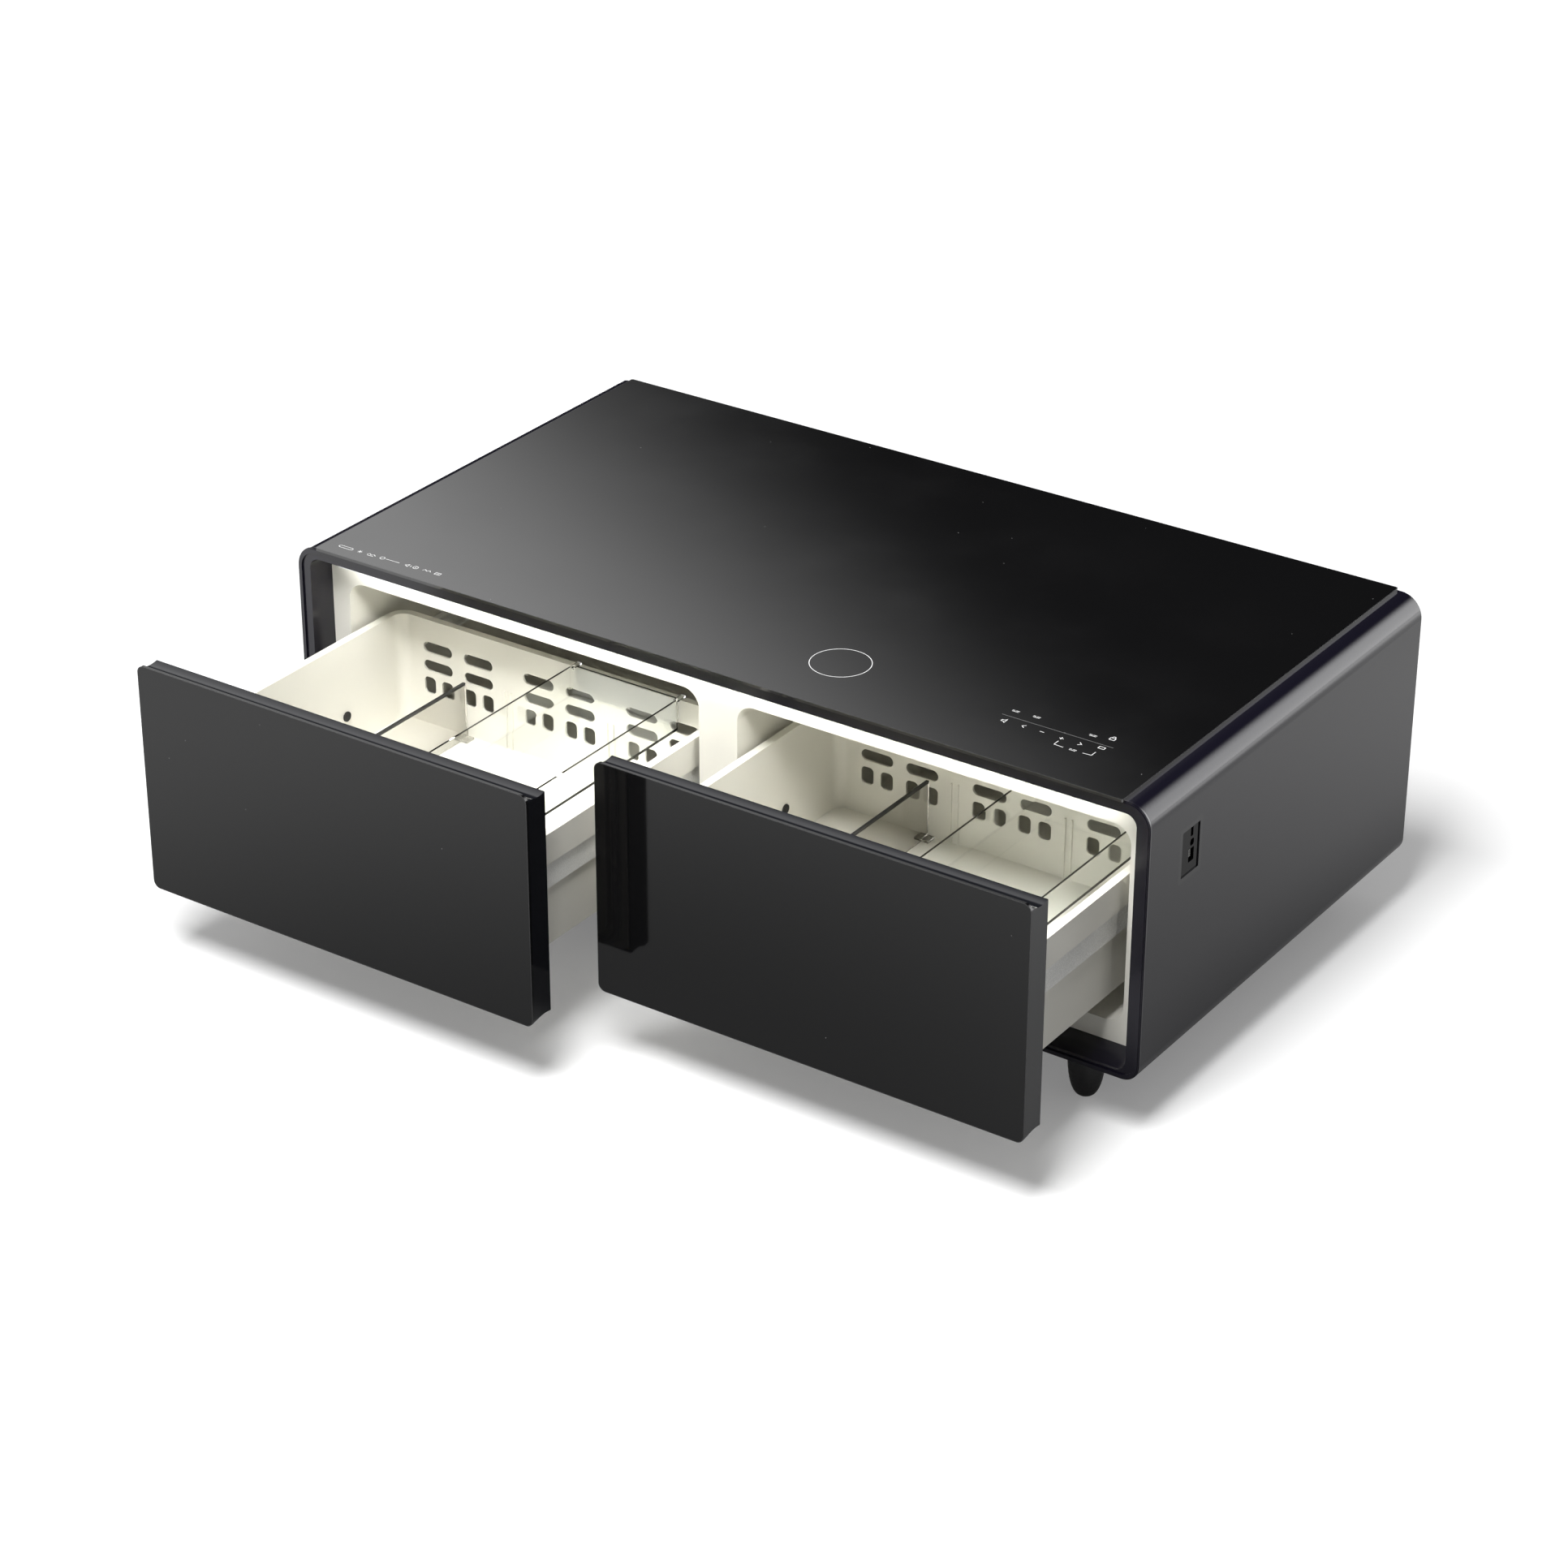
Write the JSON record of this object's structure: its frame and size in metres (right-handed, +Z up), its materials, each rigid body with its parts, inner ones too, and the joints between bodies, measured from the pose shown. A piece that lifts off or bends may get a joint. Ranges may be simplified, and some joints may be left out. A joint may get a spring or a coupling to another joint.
{
  "type": "refrigerator coffee table",
  "caption": "Low table on bullet feet with a black glass top and two cooled drawers, each with a vented bin, a clear tray and a divider.",
  "frame": {"origin": "centre of the bounding box on the floor, with the drawers as pictured", "axes": "+X to the right seen from the front, +Y to the back, +Z up"},
  "size_m": [1.3, 1.042, 0.46],
  "materials": {
    "case_paint": "satin dark grey powder coat",
    "black_glass": "polished, black behind",
    "gloss_black": "gloss",
    "white_plastic": "soft sheen",
    "foam": "foam",
    "seal_grey": "matte",
    "foot_rubber": "matte",
    "black_plastic": "fine satin",
    "black_steel": "satin black",
    "white_steel": "white epoxy coat",
    "zinc": "zinc plated",
    "nylon": "satin nylon",
    "aluminium": "mill finish",
    "copper": "bright copper",
    "clear_plastic": "clear",
    "smoked_plastic": "smoked clear",
    "diffuser": "opal",
    "circuit_board": "solder mask",
    "grey_plastic": "fine satin"
  },
  "bodies": {
    "cabinet": {"shell": "case_paint", "glass_top": "black_glass", "front_bezel": "gloss_black", "cabinet_liner": "white_plastic", "insulation": "foam", "feet": "black_plastic", "foot_pads": "foot_rubber", "foot_plates": "zinc", "led_channel": "aluminium", "led_diffuser": "diffuser", "touch_tray": "black_plastic", "touch_board": "circuit_board", "charge_coil": "copper", "port_frame": "grey_plastic", "port_plate": "black_plastic", "port_sockets": "black_plastic", "back_panel": "case_paint", "back_screws": "zinc", "power_inlet": "black_plastic", "speakers": "grey_plastic", "compressor": "black_steel", "compressor_mounts": "zinc", "condenser": "aluminium", "condenser_fan_frame": "black_plastic", "coolant_pipes": "copper", "control_box": "grey_plastic", "left_air_cover": "white_plastic", "right_air_cover": "white_plastic", "left_evaporator": "aluminium", "right_evaporator": "aluminium", "left_channels": "white_steel", "right_channels": "white_steel"},
    "left_drawer": {"left_door_glass": "black_glass", "left_door_frame": "gloss_black", "left_door_core": "foam", "left_door_panel": "white_plastic", "left_seal": "seal_grey", "left_bin": "white_plastic", "left_bin_plugs": "foot_rubber", "left_rails": "white_steel"},
    "left_tray_body": {"left_tray": "clear_plastic"},
    "left_divider_body": {"left_divider": "smoked_plastic"},
    "left_front_rollers_body": {"left_front_rollers": "nylon"},
    "left_rear_rollers_body": {"left_rear_rollers": "nylon"},
    "left_air_fan_body": {"left_air_fan": "grey_plastic"},
    "right_drawer": {"right_door_glass": "black_glass", "right_door_frame": "gloss_black", "right_door_core": "foam", "right_door_panel": "white_plastic", "right_seal": "seal_grey", "right_bin": "white_plastic", "right_bin_plugs": "foot_rubber", "right_rails": "white_steel"},
    "right_tray_body": {"right_tray": "clear_plastic"},
    "right_divider_body": {"right_divider": "smoked_plastic"},
    "right_front_rollers_body": {"right_front_rollers": "nylon"},
    "right_rear_rollers_body": {"right_rear_rollers": "nylon"},
    "right_air_fan_body": {"right_air_fan": "grey_plastic"},
    "condenser_fan_body": {"condenser_fan_rotor": "grey_plastic"}
  },
  "joints": [
    {"name": "left_drawer_slide", "type": "slide", "parent": "cabinet", "child": "left_drawer", "axis": [0, -1, 0], "range_m": [-0.342, 0.008]},
    {"name": "left_tray_slide", "type": "slide", "parent": "left_drawer", "child": "left_tray_body", "axis": [1, 0, 0], "range_m": [-0.285, 0.06]},
    {"name": "left_divider_slide", "type": "slide", "parent": "left_drawer", "child": "left_divider_body", "axis": [1, 0, 0], "range_m": [-0.086, 0.4]},
    {"name": "left_front_roller_spin", "type": "hinge", "parent": "cabinet", "child": "left_front_rollers_body", "pos_m": [-0.31525, -0.087, 0.2357], "axis": [1, 0, 0], "range_deg": [-1782.4, 42.7]},
    {"name": "left_rear_roller_spin", "type": "hinge", "parent": "left_drawer", "child": "left_rear_rollers_body", "pos_m": [-0.31525, -0.061, 0.262], "axis": [1, 0, 0], "range_deg": [-1633.9, 39.2]},
    {"name": "left_air_fan_spin", "type": "hinge", "parent": "cabinet", "child": "left_air_fan_body", "pos_m": [-0.47325, 0.317, 0.26], "axis": [0, 1, 0], "continuous": true},
    {"name": "right_drawer_slide", "type": "slide", "parent": "cabinet", "child": "right_drawer", "axis": [0, -1, 0], "range_m": [-0.222, 0.128]},
    {"name": "right_tray_slide", "type": "slide", "parent": "right_drawer", "child": "right_tray_body", "axis": [1, 0, 0], "range_m": [-0.311, 0.034]},
    {"name": "right_divider_slide", "type": "slide", "parent": "right_drawer", "child": "right_divider_body", "axis": [1, 0, 0], "range_m": [-0.119, 0.367]},
    {"name": "right_front_roller_spin", "type": "hinge", "parent": "cabinet", "child": "right_front_rollers_body", "pos_m": [0.31525, -0.087, 0.2357], "axis": [1, 0, 0], "range_deg": [-1157.3, 667.7]},
    {"name": "right_rear_roller_spin", "type": "hinge", "parent": "right_drawer", "child": "right_rear_rollers_body", "pos_m": [0.31525, 0.059, 0.262], "axis": [1, 0, 0], "range_deg": [-1061, 612.2]},
    {"name": "right_air_fan_spin", "type": "hinge", "parent": "cabinet", "child": "right_air_fan_body", "pos_m": [0.47325, 0.317, 0.26], "axis": [0, 1, 0], "continuous": true},
    {"name": "condenser_fan_spin", "type": "hinge", "parent": "cabinet", "child": "condenser_fan_body", "pos_m": [0, 0.45, 0.198], "axis": [0, 1, 0], "continuous": true}
  ],
  "couplings": [
    {"joint": "left_front_roller_spin", "follows": "left_drawer_slide", "rad_per_m": 90.909},
    {"joint": "left_rear_roller_spin", "follows": "left_drawer_slide", "rad_per_m": 83.333},
    {"joint": "right_front_roller_spin", "follows": "right_drawer_slide", "rad_per_m": 90.909},
    {"joint": "right_rear_roller_spin", "follows": "right_drawer_slide", "rad_per_m": 83.333}
  ]
}
